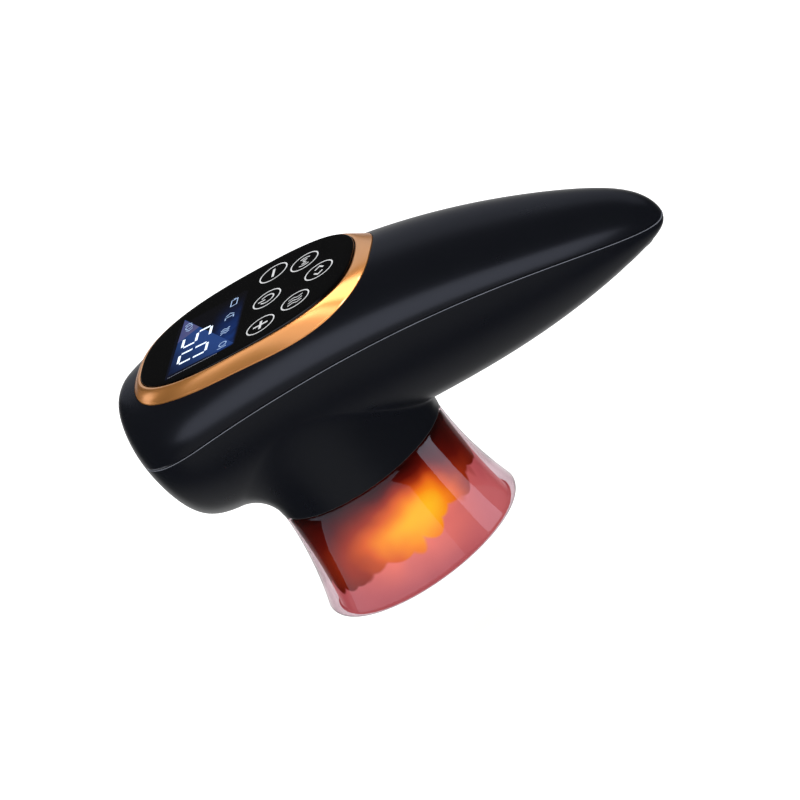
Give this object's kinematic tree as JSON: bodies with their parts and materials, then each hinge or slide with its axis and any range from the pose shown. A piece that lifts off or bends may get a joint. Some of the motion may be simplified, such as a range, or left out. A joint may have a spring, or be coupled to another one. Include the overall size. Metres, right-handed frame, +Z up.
{
  "type": "electric cupping massager",
  "caption": "Handheld cupping massager: tapering body with a display and touch keys, a pull-off glass cup, an air pump, a release valve and a red light.",
  "frame": {"origin": "middle of the object's length and width, on the plane of the cup's rim", "axes": "+X from the nose to the handle's tip, +Y to the side of the minus key, +Z up through the control panel"},
  "size_m": [0.176, 0.081, 0.0953],
  "materials": {
    "satin_black_shell": "satin near-black with a cool tint",
    "copper_gold_ring": "polished copper-gold",
    "black_panel": "gloss black, white printed marks",
    "amber_cup_glass": "clear amber",
    "red_window": "red translucent",
    "blue_display": "blue backlit display",
    "green_board": "solder-masked board",
    "plated_steel": "plated",
    "copper_winding": "enamelled copper",
    "grey_rubber": "matt",
    "milky_silicone": "milky silicone",
    "dark_plastic": "moulded, unpainted",
    "white_plastic": "moulded, unpainted",
    "blue_cell_wrap": "shrink-wrapped cell",
    "black_foam": "open foam",
    "red_wire": "insulated",
    "black_wire": "insulated",
    "ferrite": "sintered"
  },
  "bodies": {
    "housing": {"air_tee": "white_plastic", "battery_cell": "blue_cell_wrap", "battery_cradle": "dark_plastic", "battery_lead_black": "black_wire", "battery_lead_red": "red_wire", "battery_pad": "black_foam", "bezel_ring": "copper_gold_ring", "board_screw_1": "plated_steel", "board_screw_2": "plated_steel", "board_screw_3": "plated_steel", "board_screw_4": "plated_steel", "bottom_shell": "satin_black_shell", "bracket_screw_1": "plated_steel", "bracket_screw_2": "plated_steel", "charging_board": "green_board", "charging_port": "plated_steel", "cup_gasket": "milky_silicone", "cup_socket": "dark_plastic", "diaphragm": "grey_rubber", "display_board": "green_board", "display_module": "blue_display", "display_ribbon": "white_plastic", "filter_disc": "black_foam", "key_pad_sheet": "grey_rubber", "light_board": "white_plastic", "light_window": "red_window", "main_board": "green_board", "motor_can": "plated_steel", "motor_end_cap": "white_plastic", "motor_lead": "red_wire", "motor_magnet": "ferrite", "motor_sleeve": "grey_rubber", "pump_bracket": "dark_plastic", "pump_cover": "white_plastic", "pump_housing": "white_plastic", "screw_plug_front": "grey_rubber", "screw_plug_rear": "grey_rubber", "shell_screw_front": "plated_steel", "shell_screw_rear": "plated_steel", "socket_screw_1": "plated_steel", "socket_screw_2": "plated_steel", "socket_screw_3": "plated_steel", "suction_port": "white_plastic", "swing_plate": "white_plastic", "top_shell": "satin_black_shell", "touch_panel": "black_panel", "tube_cup": "milky_silicone", "tube_pump": "milky_silicone", "tube_valve": "milky_silicone", "valve_coil": "copper_winding", "valve_frame": "plated_steel", "valve_plate": "white_plastic", "valve_seat": "white_plastic", "valve_spring": "plated_steel"},
    "cup": {"cup": "amber_cup_glass"},
    "rotor": {"motor_rotor": "copper_winding"},
    "plunger": {"valve_plunger": "plated_steel"}
  },
  "joints": [
    {"name": "cup_pull", "type": "slide", "parent": "housing", "child": "cup", "axis": [0, 0, -1], "range_m": [0, 0.03]},
    {"name": "motor_spin", "type": "hinge", "parent": "housing", "child": "rotor", "pos_m": [-0.0355, 0, 0.0737], "axis": [1, 0, 0], "continuous": true},
    {"name": "valve_stroke", "type": "slide", "parent": "housing", "child": "plunger", "axis": [-1, 0, 0], "range_m": [0, 0.002], "stiffness_N_per_m": 60, "springref_m": -0.001, "deforming": ["valve_spring"]}
  ]
}
